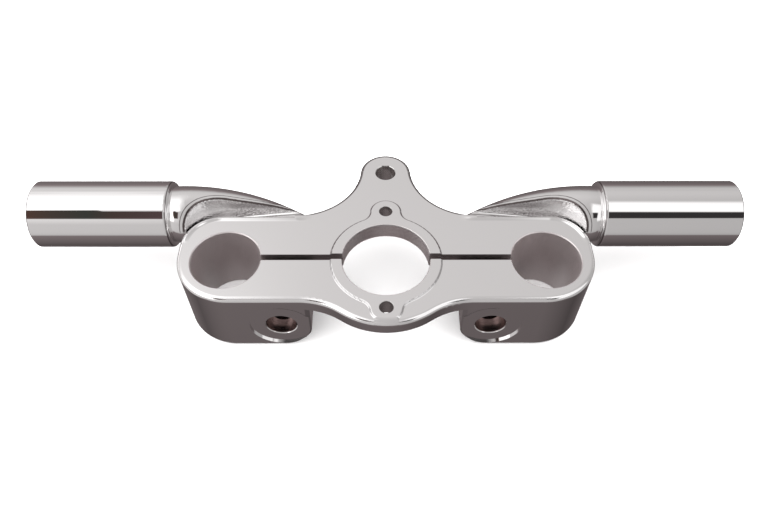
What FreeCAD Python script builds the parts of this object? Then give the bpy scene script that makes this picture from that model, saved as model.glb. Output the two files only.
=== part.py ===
import FreeCAD, Part
import math
import os

# Motorcycle triple clamp with two side stubs, cast and machined in one piece.
# Millimetres. +X runs along the right stub, +Y to the rear, +Z up. The origin is on the
# steering bore's axis, at the height of the plate's flat top face.

# Steering bore and fork bores
steering_bore_r = 25.75
fork_bore_r = 20.5
fork_spacing = 188.0
bore_chamfer = 0.5

# Plate outline: a round belly, two hollow waists and the two ends round the fork bores
plate_thickness = 10.8
edge_round = 3.0
under_edge_chamfer = 1.5
belly_wall = 18.85
waist_radius = 43.0
front_wall = 8.4
side_wall = 8.5
front_corner_r = 33.0
rear_edge_y = 34.7
rear_corner_r = 23.0

# Rear tab
tab_hole_y = 70.7
tab_hole_r = 6.25
tab_hole_chamfer = 0.35
tab_end_r = 16.0
tab_blend_r = 40.0
tab_edge_round = 1.2
tab_root_depth = 15.0
tab_boss_r = 12.0
tab_boss_depth = 16.0
tab_boss_chamfer = 1.0

# Raised pad round the steering bore, with a screw hole in each of its two lobes
pad_height = 1.0
pad_ring_wall = 6.75
pad_lobe_wall = 5.0
pad_blend_r = 8.0
pad_side_run = 1.4
screw_hole_r = 4.0
rear_screw_y = 36.6
front_screw_y = -34.1
screw_chamfer = 0.25

# Saw slit from fork bore to fork bore
slit_width = 4.0
slit_offset_y = 1.5

# Pinch bosses below the plate, each with a rounded lug at its bolt
boss_depth = 48.8
boss_inner_x = 44.2
lug_corner_r = 17.5
boss_edge_chamfer = 2.4
bolt_x = 61.7
bolt_z = -27.2
bolt_hole_r = 5.5
bolt_thread_r = 4.25
head_seat_r = 9.0
head_seat_depth = 8.3
head_seat_chamfer = 0.5
spot_face_r = 18.6
spot_face_depth = 1.1

# Side arms and stubs
stub_r = 20.5
stub_length = 84.6
stub_end_x = 215.0
stub_axis_y = 40.0
stub_end_chamfer = 1.0
neck_r = 17.4
shoulder_round = 2.8
arm_start_x = 118.0
arm_merge_x = 50.0
arm_merge_y = 32.0
arm_bow = 5.2
arm_tail = 9.0
arm_steps = 4

# Scoop cast into the arm's front flank, which keeps the fork bore's rim clear
scoop_floor_gap = 1.0
scoop_floor_z = -7.0
scoop_side_foot_gap = 0.5
scoop_side_gap = 1.75
scoop_rear_gap = 6.9
scoop_rear_corner_r = 30.0
scoop_overshoot = 2.9
scoop_floor_round = 2.0
scoop_crest_round = 1.8

# Sizes that follow from the ones above
fork_x = fork_spacing / 2.0
front_y = -(fork_bore_r + front_wall)
side_x = fork_x + fork_bore_r + side_wall
belly_r = steering_bore_r + belly_wall
pad_lobe_r = screw_hole_r + pad_lobe_wall
mid_z = -plate_thickness / 2.0

# How far a cutter runs past what it cuts, a length greater than the whole part, and how
# near two places on an edge must be to count as one
overrun = 1.0
far = 2.0 * stub_end_x
near = 0.01


def point(x, y, z=0.0):
    return FreeCAD.Vector(x, y, z)


def polar(cx, cy, r, degrees, z=0.0):
    a = math.radians(degrees)
    return point(cx + r * math.cos(a), cy + r * math.sin(a), z)


def arc(cx, cy, r, start, end, z=0.0):
    middle = polar(cx, cy, r, (start + end) / 2.0, z)
    return Part.Arc(polar(cx, cy, r, start, z), middle, polar(cx, cy, r, end, z)).toShape()


def line(a, b):
    return Part.makeLine(a, b)


def face_of(edges):
    return Part.Face(Part.Wire(Part.sortEdges(edges)[0]))


def polygon(corners):
    return Part.Face(Part.makePolygon(corners + corners[:1]))


def mirrored(shape):
    return shape.mirror(point(0, 0), point(1, 0))


def prism(face, low, high):
    lifted = face.copy()
    lifted.translate(point(0, 0, low))
    return lifted.extrude(point(0, 0, high - low))


def drill(x, y, r, low, high):
    return Part.makeCylinder(r, high - low, point(x, y, low))


def edges_where(shape, test):
    return [edge for edge in shape.Edges if test(edge.BoundBox)]


def is_level(box, z):
    return abs(box.ZMin - z) < near and abs(box.ZMax - z) < near


def plate_outline():
    """The plate without its tab: belly, waists, fork ends and the straight rear edge."""
    waist_y = front_y - waist_radius
    waist_x = math.sqrt((belly_r + waist_radius) ** 2 - waist_y ** 2)
    tangent = math.degrees(math.atan2(waist_y, -waist_x))
    front_corner = point(-side_x + front_corner_r, front_y + front_corner_r)
    rear_corner = point(-side_x + rear_corner_r, rear_edge_y - rear_corner_r)
    half = [
        arc(0, 0, belly_r, -90, tangent),
        arc(-waist_x, waist_y, waist_radius, tangent + 180, 90),
        line(point(-waist_x, front_y), point(front_corner.x, front_y)),
        arc(front_corner.x, front_corner.y, front_corner_r, 270, 180),
        line(point(-side_x, front_corner.y), point(-side_x, rear_corner.y)),
        arc(rear_corner.x, rear_corner.y, rear_corner_r, 180, 90),
        line(point(rear_corner.x, rear_edge_y), point(0, rear_edge_y)),
    ]
    return face_of(half + [mirrored(edge) for edge in half])


def plate():
    solid = prism(plate_outline(), -plate_thickness, 0)
    solid = solid.makeFillet(edge_round, edges_where(solid, lambda box: is_level(box, 0)))
    under = edges_where(solid, lambda box: is_level(box, -plate_thickness))
    return solid.makeChamfer(under_edge_chamfer, under)


def pinch_boss():
    """The left boss: the plate's own outline carried down, with a rounded lug at the bolt."""
    block = prism(plate_outline(), -boss_depth, -edge_round)
    corner_x = -boss_inner_x - lug_corner_r
    corner_z = -boss_depth + lug_corner_r
    middle = lug_corner_r * math.sqrt(0.5)
    lug = [
        line(point(-boss_inner_x, -far, 0), point(-far, -far, 0)),
        line(point(-far, -far, 0), point(-far, -far, -boss_depth)),
        line(point(-far, -far, -boss_depth), point(corner_x, -far, -boss_depth)),
        Part.Arc(
            point(corner_x, -far, -boss_depth),
            point(corner_x + middle, -far, corner_z - middle),
            point(-boss_inner_x, -far, corner_z),
        ).toShape(),
        line(point(-boss_inner_x, -far, corner_z), point(-boss_inner_x, -far, 0)),
    ]
    solid = block.common(face_of(lug).extrude(point(0, 2 * far, 0)))
    return solid.makeChamfer(boss_edge_chamfer, edges_where(solid, is_boss_rim))


def is_boss_rim(box):
    """True for the edges round the boss's foot and up both sides of its inner face."""
    foot = box.ZMax < -boss_depth + lug_corner_r + near
    inner_face = box.XMin > -boss_inner_x - near
    seam = box.YLength > rear_edge_y - front_y - near and box.XLength < near
    return (foot or inner_face) and not seam and not is_level(box, -edge_round)


def tab():
    blend_y = rear_edge_y + tab_blend_r
    reach = tab_end_r + tab_blend_r
    blend_x = math.sqrt(reach ** 2 - (blend_y - tab_hole_y) ** 2)
    tangent = math.degrees(math.atan2(tab_hole_y - blend_y, blend_x))
    root_y = rear_edge_y - tab_root_depth
    half = [
        arc(0, tab_hole_y, tab_end_r, 90, 180 + tangent),
        arc(-blend_x, blend_y, tab_blend_r, tangent, -90),
        line(point(-blend_x, rear_edge_y), point(-blend_x, root_y)),
        line(point(-blend_x, root_y), point(0, root_y)),
    ]
    solid = prism(face_of(half + [mirrored(edge) for edge in half]), -plate_thickness, 0)
    rims = edges_where(solid, lambda box: is_tab_rim(box, 0))
    solid = solid.makeFillet(tab_edge_round, rims)
    under = edges_where(solid, lambda box: is_tab_rim(box, -plate_thickness))
    return solid.makeChamfer(under_edge_chamfer, under).fuse(tab_boss())


def tab_boss():
    """The round boss under the tab, which makes its hole deeper than the plate."""
    boss = drill(0, tab_hole_y, tab_boss_r, -tab_boss_depth, -plate_thickness / 2.0)
    return boss.makeChamfer(
        tab_boss_chamfer, edges_where(boss, lambda box: is_level(box, -tab_boss_depth))
    )


def is_tab_rim(box, z):
    return is_level(box, z) and box.YMin > rear_edge_y - near


def pad():
    """A ring round the steering bore with a lobe round each screw hole, one low step high.

    Its sides slope: the radii hold half way up, and are pad_side_run apart at top and foot.
    """
    ring_r = steering_bore_r + pad_ring_wall
    pieces = [sloped_drum(0, 0, ring_r, pad_side_run)]
    for screw_y in (rear_screw_y, front_screw_y):
        pieces.append(sloped_drum(0, screw_y, pad_lobe_r, pad_side_run))
        pieces.append(lobe_web(ring_r, screw_y))
    shape = pad_mouth().fuse(pieces).removeSplitter()
    return shape.common(pad_limit())


def sloped_drum(x, y, r, run):
    """A disc as high as the pad whose radius shrinks by run on its way up, on a plain root."""
    foot_r = r + run / 2.0
    slope = Part.makeCone(foot_r, foot_r - run, pad_height, point(x, y, 0))
    return slope.fuse(drill(x, y, foot_r, -edge_round, 0))


def lobe_web(ring_r, screw_y):
    """What fills the corners between ring and lobe, hollowed by an arc tangent to both."""
    a = ring_r + pad_blend_r
    b = pad_lobe_r + pad_blend_r
    along = (a * a - b * b + screw_y * screw_y) / (2.0 * screw_y)
    across = math.sqrt(a * a - along * along)
    kite = polygon([point(0, 0), point(across, along), point(0, screw_y), point(-across, along)])
    web = prism(kite, -edge_round, pad_height)
    for x in (across, -across):
        web = web.cut(sloped_drum(x, along, pad_blend_r, -pad_side_run))
    return web


def pad_mouth():
    """The front lobe carried on to the plate's front edge, as wide as it is at the crest."""
    crest_y = -(belly_r - edge_round - pad_height)
    middle = math.sqrt(pad_lobe_r ** 2 - (front_screw_y - crest_y) ** 2)
    foot = middle + pad_side_run / 2.0
    top = foot - pad_side_run
    profile = polygon([
        point(-foot, -belly_r, -edge_round),
        point(foot, -belly_r, -edge_round),
        point(foot, -belly_r, 0),
        point(top, -belly_r, pad_height),
        point(-top, -belly_r, pad_height),
        point(-foot, -belly_r, 0),
    ])
    return profile.extrude(point(0, belly_r + crest_y, 0))


def pad_limit():
    """The rear half plane and a drum that rounds the pad's front into the plate's edge."""
    height = edge_round + pad_height
    drum = drill(0, 0, belly_r, -edge_round - overrun, pad_height)
    drum = drum.makeFillet(height, edges_where(drum, lambda box: is_level(box, pad_height)))
    rear = Part.makeBox(2 * far, far, height + overrun, point(-far, 0, -edge_round - overrun))
    return drum.fuse(rear)


def arm_section(x, y, r):
    return Part.Wire(Part.makeCircle(r, point(-x, y, mid_z), point(1, 0, 0)))


def arm():
    """The left arm: a horn that tapers from the round neck into the plate's rear edge.

    Its centre line is a shallow parabola that stands arm_bow off its chord at mid length.
    """
    run = arm_start_x - arm_merge_x
    drop = stub_axis_y - arm_merge_y
    merge_r = plate_thickness / 2.0
    taper = (neck_r - merge_r) / run
    sections = [arm_section(stub_end_x - stub_length, stub_axis_y, neck_r)]
    for step in range(arm_steps + 1):
        t = step / arm_steps
        y = stub_axis_y - drop * t + 4.0 * arm_bow * t * (1.0 - t)
        sections.append(arm_section(arm_start_x - run * t, y, neck_r - taper * run * t))
    end_slope = (drop + 4.0 * arm_bow) / run
    tail_y = arm_merge_y - end_slope * arm_tail
    sections.append(arm_section(arm_merge_x - arm_tail, tail_y, merge_r - taper * arm_tail))
    return Part.makeLoft(sections, True, False)


def stub():
    """The left stub, a turned bar end with a rounded shoulder and a broken outer edge."""
    shoulder_x = stub_length - stub_end_x
    bar = Part.makeCylinder(
        stub_r, stub_length, point(-stub_end_x, stub_axis_y, mid_z), point(1, 0, 0)
    )
    outer = edges_where(bar, lambda box: abs(box.XMax + stub_end_x) < near)
    bar = bar.makeChamfer(stub_end_chamfer, outer)
    inner = edges_where(bar, lambda box: abs(box.XMin - shoulder_x) < near)
    return bar.makeFillet(shoulder_round, inner)


def scoop_wire(side_gap, rear_gap, corner_r, z):
    left = -side_x - side_gap
    rear = rear_edge_y + rear_gap
    corner = point(left + corner_r, rear - corner_r, z)
    edges = [
        line(point(-arm_merge_x, 0, z), point(left, 0, z)),
        line(point(left, 0, z), point(left, corner.y, z)),
        arc(corner.x, corner.y, corner_r, 180, 90, z),
        line(point(corner.x, rear, z), point(-arm_merge_x, rear, z)),
        line(point(-arm_merge_x, rear, z), point(-arm_merge_x, 0, z)),
    ]
    return Part.Wire(edges)


def scoop():
    """What the foundry pattern leaves out of the left arm beside the fork boss.

    Its flank leans outward from the floor to just above the horn's crest, and its floor
    climbs to the plate's top face where the horn runs out.
    """
    low = scoop_wire(
        scoop_side_foot_gap, scoop_floor_gap, rear_corner_r + scoop_floor_gap, scoop_floor_z
    )
    above_crest_z = mid_z + neck_r + scoop_overshoot
    high = scoop_wire(scoop_side_gap, scoop_rear_gap, scoop_rear_corner_r, above_crest_z)
    ramp = polygon([
        point(-far, 0, scoop_floor_z - overrun),
        point(0, 0, scoop_floor_z - overrun),
        point(0, 0, 0),
        point(-arm_merge_x, 0, 0),
        point(-side_x, 0, scoop_floor_z),
        point(-far, 0, scoop_floor_z),
    ])
    return Part.makeLoft([low, high], True, True).cut(ramp.extrude(point(0, far, 0)))


def side_arm():
    """The left arm with its scoop, the scoop's floor filleted and its crest rounded over."""
    horn = arm().cut(scoop())
    horn = horn.makeFillet(scoop_floor_round, edges_where(horn, is_scoop_floor))
    horn = horn.makeFillet(scoop_crest_round, edges_where(horn, is_scoop_crest))
    return horn.fuse(stub())


def is_scoop_floor(box):
    low = box.ZMin > scoop_floor_z - overrun and box.ZMax < -near
    return low and box.XLength > scoop_rear_gap and box.ZLength > near


def is_scoop_crest(box):
    return box.ZMax > 0 and scoop_rear_gap < box.XLength < arm_start_x - arm_merge_x


def pinch_holes():
    """Spot face, head seat, clearance hole and tapped hole of the left pinch bolt."""
    slit_front = slit_offset_y - slit_width / 2.0
    spot_y = front_y + spot_face_depth
    mouth_r = head_seat_r + head_seat_chamfer
    runs = [
        (spot_face_r, spot_face_r, front_y - far, spot_y),
        (mouth_r, head_seat_r, spot_y, spot_y + head_seat_chamfer),
        (head_seat_r, head_seat_r, spot_y, front_y + head_seat_depth),
        (bolt_hole_r, bolt_hole_r, spot_y, slit_front),
        (bolt_thread_r, bolt_thread_r, slit_front, far),
    ]
    return [bolt_cutter(*run) for run in runs]


def bolt_cutter(start_r, end_r, start_y, end_y):
    base = point(-bolt_x, start_y, bolt_z)
    if start_r == end_r:
        return Part.makeCylinder(start_r, end_y - start_y, base, point(0, 1, 0))
    return Part.makeCone(start_r, end_r, end_y - start_y, base, point(0, 1, 0))


def vertical_hole(x, y, r, chamfer, low, high):
    """A through hole as one cutter, with a chamfer at each mouth."""
    tool = drill(x, y, r, low - overrun, high + overrun)
    wide = r + 2 * chamfer
    top = Part.makeCone(r, wide, 2 * chamfer, point(x, y, high - chamfer))
    bottom = Part.makeCone(wide, r, 2 * chamfer, point(x, y, low - chamfer))
    return tool.fuse([top, bottom])


def saw_slit():
    low = point(-fork_x, slit_offset_y - slit_width / 2.0, -boss_depth - overrun)
    height = boss_depth + pad_height + 2 * overrun
    return Part.makeBox(fork_spacing, slit_width, height, low)


def clamp_body():
    halves = [pinch_boss(), side_arm()]
    body = plate().fuse(halves + [mirrored(part) for part in halves] + [tab(), pad()])
    body = body.removeSplitter()
    cutters = [
        vertical_hole(0, 0, steering_bore_r, bore_chamfer, -plate_thickness, pad_height),
        vertical_hole(0, tab_hole_y, tab_hole_r, tab_hole_chamfer, -tab_boss_depth, 0),
        saw_slit(),
    ]
    for y in (rear_screw_y, front_screw_y):
        hole = vertical_hole(0, y, screw_hole_r, screw_chamfer, -plate_thickness, pad_height)
        cutters.append(hole)
    for x in (-fork_x, fork_x):
        cutters.append(vertical_hole(x, 0, fork_bore_r, bore_chamfer, -boss_depth, 0))
    for tool in pinch_holes():
        cutters.extend([tool, mirrored(tool)])
    for tool in cutters:
        body = body.cut(tool)
    return body


os.makedirs("parts", exist_ok=True)
clamp_body().exportStep("parts/clamp_body.step")
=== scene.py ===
import math
import bpy
import numpy as np
from mathutils import Matrix, Vector


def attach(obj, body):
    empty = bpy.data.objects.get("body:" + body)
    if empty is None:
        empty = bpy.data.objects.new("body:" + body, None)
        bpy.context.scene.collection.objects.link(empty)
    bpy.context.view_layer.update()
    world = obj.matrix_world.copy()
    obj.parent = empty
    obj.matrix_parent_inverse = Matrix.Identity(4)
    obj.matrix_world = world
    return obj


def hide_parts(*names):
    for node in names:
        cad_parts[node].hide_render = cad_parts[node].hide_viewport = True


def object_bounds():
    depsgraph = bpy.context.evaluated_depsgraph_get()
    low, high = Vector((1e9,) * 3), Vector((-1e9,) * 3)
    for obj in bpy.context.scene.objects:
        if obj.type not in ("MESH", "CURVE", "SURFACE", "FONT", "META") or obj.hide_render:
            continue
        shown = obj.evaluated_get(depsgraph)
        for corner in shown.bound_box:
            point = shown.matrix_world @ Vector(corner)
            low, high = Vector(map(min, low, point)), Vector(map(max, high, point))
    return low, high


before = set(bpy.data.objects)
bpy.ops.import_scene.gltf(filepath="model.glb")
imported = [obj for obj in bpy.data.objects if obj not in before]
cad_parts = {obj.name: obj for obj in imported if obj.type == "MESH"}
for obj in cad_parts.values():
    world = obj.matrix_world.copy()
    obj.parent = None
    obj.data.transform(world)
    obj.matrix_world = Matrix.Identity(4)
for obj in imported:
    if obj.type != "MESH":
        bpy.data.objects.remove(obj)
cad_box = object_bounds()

# The clamp body: plate, pad, rear tab, pinch bosses, side arms and stubs are one aluminium
# casting. Its faces are machined and polished, its bores turned and its holes drilled. Then
# the whole casting is chromed, which leaves the arms' hollow flanks with the skin of the cast.

# Sizes in millimetres, the same as in the part's source
mm = 0.001
steering_bore_r = 25.75
fork_bore_r = 20.5
fork_x = 94.0
bore_chamfer = 0.5
plate_thickness = 10.8
tab_hole_y = 70.7
tab_hole_r = 6.25
tab_hole_chamfer = 0.35
tab_end_r = 16.0
tab_blend_r = 40.0
tab_blend_x = 55.86
tab_blend_y = 74.7
pad_height = 1.0
pad_reach = 45.0
screw_hole_r = 4.0
screw_chamfer = 0.25
rear_screw_y = 36.6
front_screw_y = -34.1
slit_half_width = 2.0
slit_y = 1.5
bolt_x = 61.7
bolt_z = -27.2
head_seat_r = 9.0
spot_face_r = 18.6
spot_face_y = -27.8
stub_end_x = 215.0
scoop_floor_z = -7.0
scoop_height = 21.9

# Centres, sideways and along, and radii of the plate's rear corner and of the scoop's own
# corner round it, at the scoop's floor and at its crest
rear_corner = (100.0, 11.7, 23.0)
scoop_foot = (99.5, 11.7, 24.0)
scoop_crest = (94.75, 11.6, 30.0)

# Colours of the chrome, and of what is laid over it
chrome_grey = (0.86, 0.85, 0.85)
fork_wall_grey = (0.84, 0.79, 0.79)
steering_wall_grey = (0.96, 0.90, 0.90)
slit_grey = (0.54, 0.50, 0.50)
drilled_grey = (0.70, 0.69, 0.68)
# Painted shade on the scoop's flank: its inner end and a stripe along it
inner_shade_grey = (0.58, 0.56, 0.56)
shade_grey = (0.34, 0.32, 0.32)
speckle_grey = (0.38, 0.36, 0.36)
# Painted shadow on the spot face's narrow wall
spot_wall_shadow_grey = (0.12, 0.11, 0.11)
# Painted shade in the pinch bolt's seat
seat_shade_brown = (0.40, 0.33, 0.32)
# Painted shade on the pad's slope
slope_shade_grey = (0.56, 0.55, 0.55)
# Painted dark lines of reflection and shade
painted_line_brown = (0.12, 0.10, 0.10)

# The mesh is made finer in rounds. Each halves the edges that bend more than least_bend and are
# longer than shortest_edge, in metres. The other limits say what still counts as the same place
# or normal, as a sharp crease, or as a line that runs straight on.
rounds = 2
least_bend = math.radians(3)
shortest_edge = 2e-4
weld_digits = 7
same_place = 1e-6
same_normal = 1e-3
smooth_cosine = 0.999
widest_settled = math.radians(15)
crease_sine = 0.04
straight_cosine = 0.9


def length(vectors):
    return np.linalg.norm(vectors, axis=-1, keepdims=True)


def unit(vectors):
    return vectors / np.maximum(length(vectors), 1e-12)


def dot(a, b):
    return (a * b).sum(axis=-1, keepdims=True)


def read_numbers(items, name, width, kind=float):
    """One row of width numbers for each item of a mesh's list."""
    numbers = np.zeros(len(items) * width, kind)
    items.foreach_get(name, numbers)
    return numbers.reshape(-1, width)


def is_flat(normals):
    """True for the corners of a facet whose three normals are the same."""
    return np.repeat(np.ptp(normals, axis=1).max(axis=1) < same_normal, 3)


def settle_normals(corners, normals):
    """Where a facet meets a flat one at less than widest_settled, it takes that one's normal."""
    ids = corners.reshape(-1)
    own = normals.reshape(-1, 3)
    weighted = own * is_flat(normals)[:, None]
    total = weighted.copy()
    order = np.argsort(ids, kind="stable")
    least_cosine = math.cos(widest_settled)
    for step in range(1, np.bincount(ids).max()):
        one, other = order[:-step], order[step:]
        near = (ids[one] == ids[other]) & (dot(own[one], own[other])[:, 0] > least_cosine)
        np.add.at(total, one[near], weighted[other[near]])
        np.add.at(total, other[near], weighted[one[near]])
    has_flat_neighbour = length(total) > 0.5
    return unit(np.where(has_flat_neighbour, total, own)).reshape(-1, 3, 3)


def edge_tangents(span, near_normal, far_normal):
    """The way an edge sets off, from the normals of the two faces that meet along it."""
    crease = np.cross(near_normal, far_normal)
    along_crease = unit(crease) * dot(unit(crease), span)
    normal = unit(near_normal + far_normal)
    along_skin = span - normal * dot(normal, span)
    is_crease = length(crease) > crease_sine
    tangent = unit(np.where(is_crease, along_crease, along_skin)) * length(span)
    within_60_degrees = dot(tangent, span) > 0.5 * length(span) ** 2
    return np.where(within_60_degrees, tangent, span)


def list_edges(corners):
    """Each edge once, by its two points. For each corner, the edge that sets off from it, and
    whether that is from the edge's first point. For each edge, the corners on its two sides."""
    starts = corners.reshape(-1)
    ends = np.roll(corners, -1, axis=1).reshape(-1)
    keys = np.sort(np.stack([starts, ends], axis=1), axis=1)
    edges, edge_of, uses = np.unique(keys, axis=0, return_inverse=True, return_counts=True)
    edge_of = edge_of.reshape(-1)
    order = np.argsort(edge_of, kind="stable")
    last = np.cumsum(uses) - 1
    sides = order[last - uses + 1], order[last]
    return edges, edge_of, starts == edges[edge_of, 0], sides


def follow_seams(points, edges, seam, span, tangents):
    """Turns the tangents of seam edges so that a smooth line runs through the seam's points."""
    way = unit(span) / np.maximum(length(span), 1e-9)
    pull = np.zeros_like(points)
    np.add.at(pull, edges[seam, 0], way[seam])
    np.add.at(pull, edges[seam, 1], -way[seam])
    share = np.bincount(edges[seam].reshape(-1), minlength=len(points))
    for end, sign in ((0, -1), (1, 1)):
        there = edges[:, end]
        turn = unit(2 * way + sign * pull[there])
        follows = seam & (share[there] == 2) & (dot(turn, unit(span)) > straight_cosine)[:, 0]
        tangents[end] = np.where(follows[:, None], turn * length(span), tangents[end])


def cut_triangles(ids, lean):
    """Each row has a triangle's corners 0, 1 and 2 and the middles 3, 4 and 5 of its edges, with
    -1 for an edge that stays whole."""
    patterns = {
        0: [(0, 1, 2)],
        1: [(0, 3, 2), (3, 1, 2)],
        2: [(3, 1, 4), (0, 3, 4), (0, 4, 2)],
        3: [(0, 3, 5), (3, 1, 4), (5, 4, 2), (3, 4, 5)],
    }
    is_cut = ids[:, 3:] >= 0
    cuts = is_cut.sum(axis=1)
    turned_by = np.where(cuts == 1, np.argmax(is_cut, axis=1), 0)
    turned_by = np.where(cuts == 2, (np.argmin(is_cut, axis=1) + 1) % 3, turned_by)
    new_corners = []
    new_normals = []
    for number, pattern in patterns.items():
        for turns in range(3):
            rows = (cuts == number) & (turned_by == turns)
            for picks in pattern:
                turned = [pick // 3 * 3 + (pick + turns) % 3 for pick in picks]
                new_corners.append(ids[rows][:, turned])
                new_normals.append(lean[rows][:, turned])
    return np.concatenate(new_corners), np.concatenate(new_normals)


def halve_bent_edges(points, corners, normals):
    """One round: every edge that bends more than least_bend gets a point at its middle."""
    edges, edge_of, forward, sides = list_edges(corners)
    span = points[edges[:, 1]] - points[edges[:, 0]]
    # The normals at an edge's first and second point, on the side of each corner
    own = normals.reshape(-1, 3)
    following = np.roll(normals, -1, axis=1).reshape(-1, 3)
    forward = forward[:, None]
    end_normals = np.where(forward, own, following), np.where(forward, following, own)
    tangents = [edge_tangents(span, at_end[sides[0]], at_end[sides[1]]) for at_end in end_normals]
    # A seam is an edge where a flat facet runs smoothly into a round one.
    flat = is_flat(normals)
    seam = flat[sides[0]] != flat[sides[1]]
    for at_end in end_normals:
        seam &= (dot(at_end[sides[0]], at_end[sides[1]]) > smooth_cosine)[:, 0]
    follow_seams(points, edges, seam, span, tangents)
    bend = 1 - dot(unit(tangents[0]), unit(tangents[1]))[:, 0]
    for on_side in sides:
        twist = 1 - dot(end_normals[0][on_side], end_normals[1][on_side])[:, 0]
        bend = np.maximum(bend, twist)
    is_cut = (bend > 1 - math.cos(least_bend)) & (length(span)[:, 0] > shortest_edge)
    # The middle of the cubic curve that has these ends and tangents, and its way there
    middle = points[edges].sum(axis=1) / 2 + (tangents[0] - tangents[1]) / 8
    way = unit(6 * span - tangents[0] - tangents[1])[edge_of]
    middle_id = np.full(len(edges), -1)
    middle_id[is_cut] = len(points) + np.arange(is_cut.sum())
    middle_normals = unit(end_normals[0] + end_normals[1])
    middle_normals = unit(middle_normals - way * dot(way, middle_normals)).reshape(-1, 3, 3)
    ids = np.concatenate([corners, middle_id[edge_of].reshape(-1, 3)], axis=1)
    lean = np.concatenate([normals, middle_normals], axis=1)
    return np.concatenate([points, middle[is_cut]]), *cut_triangles(ids, lean)


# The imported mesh, with its doubled points welded and its empty triangles left out
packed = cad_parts["clamp_body"].data
packed.calc_loop_triangles()
loops = read_numbers(packed.loop_triangles, "loops", 3, int)
vertex_of = read_numbers(packed.loops, "vertex_index", 1, int)[:, 0]
normals = read_numbers(packed.corner_normals, "vector", 3)[loops]
rounded = np.round(read_numbers(packed.vertices, "co", 3), weld_digits)
points, welded_to = np.unique(rounded, axis=0, return_inverse=True)
corners = welded_to.reshape(-1)[vertex_of[loops]]
sound = (corners != np.roll(corners, 1, axis=1)).all(axis=1)
corners, normals = corners[sound], normals[sound]
normals = settle_normals(corners, normals)
# The buffing wheel rounds the pad's upper rim into its flat top.
places = points[corners]
rim = np.abs(places[:, :, 2] - pad_height * mm) < same_place
rim &= np.abs(places[:, :, 0]) < pad_reach * mm
faces_up = normals[:, :, 2] > 0.7
normals[rim & faces_up] = (0, 0, 1)
for _ in range(rounds):
    points, corners, normals = halve_bent_edges(points, corners, normals)
points = np.clip(points, cad_box[0], cad_box[1])

casting_mesh = bpy.data.meshes.new("casting")
casting_mesh.from_pydata(points, [], corners)
casting_mesh.shade_smooth()
casting_mesh.normals_split_custom_set(normals.reshape(-1, 3))


class Value:
    """A shader socket that takes part in Python arithmetic."""

    def __init__(self, tree, socket):
        self.tree = tree
        self.socket = socket

    def math(self, operation, *terms):
        return make_node(self.tree, "ShaderNodeMath", {"operation": operation}, terms)

    def __add__(self, other):
        return self.math("ADD", self, other)

    def __radd__(self, other):
        return self.math("ADD", other, self)

    def __sub__(self, other):
        return self.math("SUBTRACT", self, other)

    def __rsub__(self, other):
        return self.math("SUBTRACT", other, self)

    def __mul__(self, other):
        return self.math("MULTIPLY", self, other)

    def __rmul__(self, other):
        return self.math("MULTIPLY", other, self)

    def __truediv__(self, other):
        return self.math("DIVIDE", self, other)

    def absolute(self):
        return self.math("ABSOLUTE", self)

    def root(self):
        return self.math("SQRT", self)

    def angle_from(self, other):
        return self.math("ARCTAN2", self, other)

    def at_least(self, low):
        return self.math("MAXIMUM", self, low)

    def at_most(self, high):
        return self.math("MINIMUM", self, high)

    def rise(self, start, end):
        """0 up to start, 1 from end on, and smooth between them. Falls where end < start."""
        if end < start:
            return 1 - self.rise(end, start)
        settings = {"interpolation_type": "SMOOTHSTEP"}
        inputs = {"Value": self, "From Min": start, "From Max": end}
        return make_node(self.tree, "ShaderNodeMapRange", settings, inputs)

    def band(self, start, full, fade, end):
        """1 from full to fade, and 0 up to start and from end on."""
        return self.rise(start, full) * self.rise(end, fade)


def make_node(tree, kind, settings, inputs, output=0):
    """A node of any kind: first its settings, then a value or a link for each of its inputs."""
    node = tree.nodes.new(kind)
    for name, setting in settings.items():
        if name == "stops":
            set_stops(node.color_ramp, setting)
        else:
            setattr(node, name, setting)
    pairs = inputs.items() if isinstance(inputs, dict) else enumerate(inputs)
    for name, value in pairs:
        if isinstance(value, Value):
            tree.links.new(value.socket, node.inputs[name])
        else:
            node.inputs[name].default_value = value
    return Value(tree, node.outputs[output])


def set_stops(ramp, stops):
    while len(ramp.elements) < len(stops):
        ramp.elements.new(0.5)
    for element, (position, colour) in zip(ramp.elements, stops):
        element.position = position
        element.color = (*colour, 1)


def split_axes(tree, vector):
    """The three parts of a place or of a direction."""
    return (make_node(tree, "ShaderNodeSeparateXYZ", {}, [vector], axis) for axis in range(3))


def lay_over(tree, colour, layers):
    """Lays each layer's colour over those before it, as far as its share says."""
    for share, layer in layers:
        if not isinstance(layer, Value):
            layer = (*layer, 1)
        # A Mix node's sockets 0, 6 and 7 are its factor and colours, and its output 2 the mix.
        inputs = {0: share, 6: colour, 7: layer}
        colour = make_node(tree, "ShaderNodeMix", {"data_type": "RGBA"}, inputs, 2)
    return colour


chrome = bpy.data.materials.new("chrome")
chrome.use_nodes = True
tree = chrome.node_tree
shader = tree.nodes["Principled BSDF"]

# Places on the part, in millimetres from here on
place = make_node(tree, "ShaderNodeTexCoord", {}, {}, "Object")
across, along, height = (part / mm for part in split_axes(tree, place))
side = across.absolute()


def from_axis(a, b, a_centre, b_centre):
    da = a - a_centre
    db = b - b_centre
    return (da * da + db * db).root()


def past_corner(x, y, r):
    """How far a place lies outside a line that runs sideways and turns forward round a corner."""
    return from_axis((side - x).at_least(0), along, 0, y) - r


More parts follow.
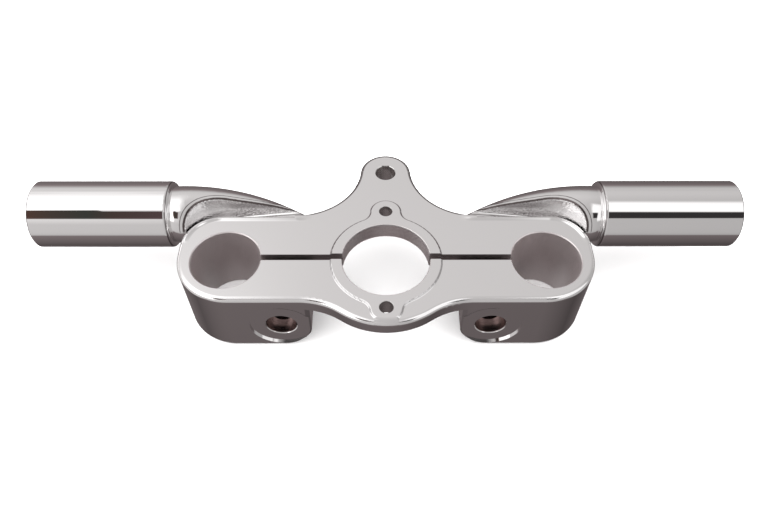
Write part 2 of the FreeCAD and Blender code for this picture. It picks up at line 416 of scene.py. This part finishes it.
# Bores, screw holes and the saw slit, up to the outer edge of their chamfers
from_steering = from_axis(across, along, 0, 0)
from_tab_hole = from_axis(across, along, 0, tab_hole_y)
steering_rim = steering_bore_r + bore_chamfer
fork_rim = fork_bore_r + bore_chamfer
tab_rim = tab_hole_r + tab_hole_chamfer
screw_rim = screw_hole_r + screw_chamfer
screw_reach = (rear_screw_y - front_screw_y) / 2
from_middle = (along - (rear_screw_y + front_screw_y) / 2).absolute()
steering = from_steering.rise(steering_rim + 0.1, steering_rim)
wall_grain = from_steering.rise(steering_bore_r + 0.1, steering_bore_r + 0.05)
lip = steering * height.rise(1 - plate_thickness, 0.3 - plate_thickness)
fork = from_axis(side, along, fork_x, 0).rise(fork_rim + 0.1, fork_rim)
tab_hole = from_tab_hole.rise(tab_rim + 0.05, tab_rim)
screw_holes = from_axis(across, from_middle, 0, screw_reach).rise(screw_rim + 0.05, screw_rim)
drilled = tab_hole.at_least(screw_holes)
slit = (along - slit_y).absolute().rise(slit_half_width + 0.2, slit_half_width)
slit = slit * side.rise(fork_x, fork_x - 0.5)

# The pinch bolt's seat, and the spot face's narrow wall where the belly hides it from light,
# painted dark as its shadow
from_bolt = from_axis(side, height, bolt_x, bolt_z)
# The seat's darker brown is painted shade in its recess.
seat = from_bolt.rise(head_seat_r + 0.3, head_seat_r + 0.05)
seat = seat * along.rise(spot_face_y + 0.1, spot_face_y + 0.3)
past_wall = from_bolt - spot_face_r
spot_wall = past_wall.band(-0.4, -0.1, 0.1, 0.4) * along.rise(spot_face_y + 0.2, spot_face_y - 0.1)
hidden_wall = spot_wall * side.rise(66, 61)

# The pad's slope, the rounding of the plate's front edge, and the stubs' outer bevels. The slope
# gets a darker grey, painted shade that dims its highlight.
pad_slope = height.band(0.1, 0.2, pad_height - 0.2, pad_height - 0.05)
pad_slope = pad_slope * side.rise(pad_reach + 5, pad_reach) * along.rise(-41, -39)
front_round = height.band(-3.4, -2.8, -0.3, 0.1) * along.rise(15, 0)
end_bevel = (side - stub_end_x).band(-1.1, -0.9, -0.1, -0.02)

# Thin dark lines at the stubs' shoulders and round the tab's edge, inside its rounding: painted
# reflections of the dark room
shoulder = side.band(131.4, 131.7, 132.1, 132.4) * along.rise(16, 18)
inside_end = tab_end_r - from_tab_hole
inside_blend = from_axis(side, along, tab_blend_x, tab_blend_y) - tab_blend_r
at_end = along.rise(71.6, 72.2)
tab_line = (inside_end.rise(2.1, 1.6) * at_end).at_least(inside_blend.rise(1.9, 1.4) * (1 - at_end))
tab_line = tab_line * height.rise(-1.4, -1.1) * along.rise(33, 35) * side.rise(50, 44)

# The scoop's flank leans outward: its corner's centre and radius move as it rises.
lift = (height - scoop_floor_z) / scoop_height
leaning = (foot + (crest - foot) * lift for foot, crest in zip(scoop_foot, scoop_crest))
flank_gap = past_corner(*leaning)
edge_gap = past_corner(*rear_corner)
beside = along.rise(20, 21) * side.rise(45, 50)
beside = beside * height.rise(scoop_floor_z - 0.2, scoop_floor_z + 0.2)
flank = flank_gap.absolute().rise(0.6, 0.2) * beside
edge_swell = edge_gap.rise(-5.5, -2.0) * along.rise(12, 20) * side.rise(45, 55)

grain = make_node(tree, "ShaderNodeTexNoise", {}, {"Vector": place, "Scale": 700, "Detail": 3})
cloud = make_node(tree, "ShaderNodeTexNoise", {}, {"Vector": place, "Scale": 60, "Detail": 2})

# Two dark ragged lines of painted shade bound the lip round the scoop's crest, the inner one broad.
# A third runs round the foot of its floor, in the crease along the plate's edge.
ragged_gap = flank_gap + 0.4 * (grain - 0.5)
inner_shade_line = ragged_gap.band(0.1, 0.3, 1.0, 1.4)
outer_shade_line = ragged_gap.band(2.4, 2.6, 2.9, 3.1)
floor_shade_line = edge_gap.band(0, 0.2, 0.7, 1.0)
shade_lines = inner_shade_line.at_least(0.8 * outer_shade_line) * height.rise(-3, -1)
shade_lines = shade_lines.at_least(0.7 * floor_shade_line) * beside
# All these lines are painted: dark reflections in the stubs' shoulders, end bevels and the tab's
# rounding, and shade in the scoop's creases.
painted_dark_lines = shade_lines.at_least(0.8 * shoulder).at_least(end_bevel).at_least(0.85 * tab_line)

# Towards its inner end the flank's cast skin is speckled with pits, grainier and painted darker:
# painted shade, with a painted stripe of shade along it.
inner_skin = flank * side.rise(106, 90)
ragged_height = height + 1.5 * (grain - 0.5)
shade = ragged_height.band(1.5, 3.0, 4.5, 7.0)
speckle = inner_skin * (0.55 * grain.rise(0.55, 0.35))

roughness = (
    0.02 + 0.02 * cloud
    + 0.45 * fork + 0.3 * steering - 0.2 * lip + 0.18 * flank
    + 0.3 * slit + 0.5 * hidden_wall + 0.1 * drilled + 0.25 * seat
    + 0.15 * pad_slope + 0.12 * front_round + 0.2 * end_bevel
)
colour = lay_over(tree, (*chrome_grey, 1), [
    (fork, fork_wall_grey),
    (steering, steering_wall_grey),
    (slit, slit_grey),
    (drilled, drilled_grey),
    # Painted shade on the flank's inner end, and a painted stripe of shade
    (0.5 * inner_skin, inner_shade_grey),
    (0.8 * inner_skin * shade, shade_grey),
    (speckle, speckle_grey),
    (hidden_wall, spot_wall_shadow_grey),
    (seat, seat_shade_brown),
    (pad_slope, slope_shade_grey),
    (painted_dark_lines, painted_line_brown),
])
relief = grain * (0.8 * flank + 1.7 * inner_skin + 0.15 * fork + wall_grain) + lip + 4.5 * edge_swell
bump_inputs = {"Strength": 1, "Distance": 0.0003, "Height": relief}
bump = make_node(tree, "ShaderNodeBump", {}, bump_inputs)
tree.links.new(colour.socket, shader.inputs["Base Color"])
tree.links.new(roughness.at_least(0.02).at_most(0.6).socket, shader.inputs["Roughness"])
tree.links.new(bump.socket, shader.inputs["Normal"])
shader.inputs["Metallic"].default_value = 1

casting_mesh.materials.append(chrome)
casting = bpy.data.objects.new("casting", casting_mesh)
bpy.context.scene.collection.objects.link(casting)
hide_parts("clamp_body")
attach(casting, "root")

# The floor: a plain pale sheet, matt, that lies flat a hair below the feet of the two bosses.
# It is kept out of the chrome, which shows only the studio.
foot_z = -0.0488
hair = 0.0002
reach = 6
floor_corners = [(-reach, -reach, 0), (reach, -reach, 0), (reach, reach, 0), (-reach, reach, 0)]
floor_mesh = bpy.data.meshes.new("floor")
floor_mesh.from_pydata(floor_corners, [], [(0, 1, 2, 3)])
pale = bpy.data.materials.new("pale_floor")
pale.use_nodes = True
pale_shader = pale.node_tree.nodes["Principled BSDF"]
pale_shader.inputs["Base Color"].default_value = (0.9, 0.9, 0.9, 1)
pale_shader.inputs["Roughness"].default_value = 0.9
floor_mesh.materials.append(pale)
floor = bpy.data.objects.new("floor", floor_mesh)
floor.location.z = foot_z - hair
floor.visible_glossy = False
bpy.context.scene.collection.objects.link(floor)

# The studio: a soft bright room with two broad overhead boxes, a dark gap to each side of the
# camera, a bright table in front and a darker one under the clamp. Chrome shows all of it.


def grey(level):
    return (level, level * 0.975, level * 0.97)


def warm(level):
    return (level * 1.12, level * 0.95, level * 0.96)


# The room's tones by the angle about the X axis: 0 to the rear, 90 up and 180 in front
tones = [
    (-180, grey(0.58)),
    (-160, grey(0.56)),
    (-151, grey(0.50)),
    (-146, warm(0.175)),
    (-126, warm(0.135)),
    (-90, warm(0.075)),
    (-60, warm(0.13)),
    (-10, warm(0.145)),
    (8, warm(0.18)),
    (16, warm(0.25)),
    (26, grey(0.52)),
    (33, grey(0.66)),
    (50, grey(0.71)),
    (60, grey(0.72)),
    (90, grey(0.63)),
    (120, grey(0.58)),
    (180, grey(0.58)),
]
wall_tone = grey(0.62)
box_white = (1.35, 1.34, 1.34)
right_gap_tone = (0.040, 0.037, 0.038)
# The left gap's tones, by how far to the left of the middle they lie
left_gap_tones = [
    (-0.47, (0.090, 0.044, 0.032)),
    (-0.43, (0.058, 0.044, 0.038)),
    (-0.39, (0.041, 0.042, 0.038)),
    (-0.36, (0.062, 0.042, 0.038)),
    (-0.30, (0.080, 0.054, 0.055)),
]
plain_white = (1, 1, 1)

world = bpy.data.worlds.new("studio")
world.use_nodes = True
bpy.context.scene.world = world
sky = world.node_tree
direction = make_node(sky, "ShaderNodeTexCoord", {}, {}, "Generated")
wide, deep, tall = split_axes(sky, direction)
angle = tall.angle_from(deep) / (2 * math.pi) + 0.5
stops = [(degrees / 360 + 0.5, tone) for degrees, tone in tones]
room = make_node(sky, "ShaderNodeValToRGB", {"stops": stops}, [angle])
stops = [(left + 1, tone) for left, tone in left_gap_tones]
left_gap_tone = make_node(sky, "ShaderNodeValToRGB", {"stops": stops}, [wide + 1])

# The boxes and gaps, by how far aside they lie, from -1 on the left to 1 on the right, and by
# their degrees about the X axis. Their edges waver a little, as on a reflector of cloth.
sway = make_node(sky, "ShaderNodeTexNoise", {}, {"Vector": direction, "Scale": 2, "Detail": 1})
degrees = angle * 360 - 180 + 5 * (sway - 0.5)
step = degrees - 4 * wide.rise(-0.378, -0.372)
aside = wide.absolute()
between = aside.rise(0.52, 0.47)
left_box = wide.rise(-0.06, -0.31) * degrees.band(40, 88, 117, 121)
right_box = wide.rise(0.16, 0.33) * degrees.band(84, 98, 122, 126)
side_boxes = aside.rise(0.47, 0.54) * degrees.band(98, 112, 155, 168)
left_gap = wide.rise(-0.26, -0.295) * step.rise(118, 119.5) * degrees.rise(150, 147) * between
right_gap = wide.rise(0.26, 0.30) * degrees.band(125, 127, 146, 149) * between
front_glow = wide.rise(0, -0.45) * degrees.band(140, 148, 150, 170)

# Looked at directly, the room is plain white, so that low views show no horizon.
seen = make_node(sky, "ShaderNodeLightPath", {}, {}, "Is Camera Ray")
room = lay_over(sky, room, [
    (aside.rise(0.66, 0.82), wall_tone),
    (left_box.at_least(right_box).at_least(side_boxes), box_white),
    (left_gap, left_gap_tone),
    (right_gap, right_gap_tone),
    (seen, plain_white),
])
strength = 1 + (0.3 * front_glow - 0.25 * wide) * (1 - seen)
background = sky.nodes["Background"]
sky.links.new(room.socket, background.inputs["Color"])
sky.links.new(strength.socket, background.inputs["Strength"])

# The overhead lamp: one broad square panel that keeps the floor pale and its shadow soft. Its
# glow is kept out of the chrome.
lamp_data = bpy.data.lights.new("overhead", "AREA")
lamp_data.shape = "SQUARE"
lamp_data.size = 5
lamp_data.energy = 230
lamp = bpy.data.objects.new("overhead", lamp_data)
lamp.location = (-0.3, 0.2, 2)
lamp.visible_glossy = False
bpy.context.scene.collection.objects.link(lamp)

# The camera: in front of the clamp and 52 degrees above it, as the photograph was taken. It
# leans a third of a degree, and its lens is given as pixels of the photograph's width.
azimuth = math.radians(-0.45)
elevation = math.radians(52.15)
roll = math.radians(0.29)
distance = 0.405
target = Vector((-0.00121, 0.00200, 0))
focal_pixels = 691
frame_pixels = 768
sensor_width = 36
back = Vector((
    math.sin(azimuth) * math.cos(elevation),
    -math.cos(azimuth) * math.cos(elevation),
    math.sin(elevation),
))
right = Vector((math.cos(azimuth), math.sin(azimuth), 0))
up = back.cross(right)
turned_right = right * math.cos(roll) + up * math.sin(roll)
turned_up = up * math.cos(roll) - right * math.sin(roll)
stand = Matrix((turned_right, turned_up, back)).transposed().to_4x4()
stand.translation = target + back * distance
lens_data = bpy.data.cameras.new("camera")
lens_data.sensor_width = sensor_width
lens_data.lens = focal_pixels / frame_pixels * sensor_width
lens_data.clip_start = 0.01
camera = bpy.data.objects.new("camera", lens_data)
camera.matrix_world = stand
bpy.context.scene.collection.objects.link(camera)
bpy.context.scene.camera = camera
bpy.context.scene.view_settings.view_transform = "Standard"
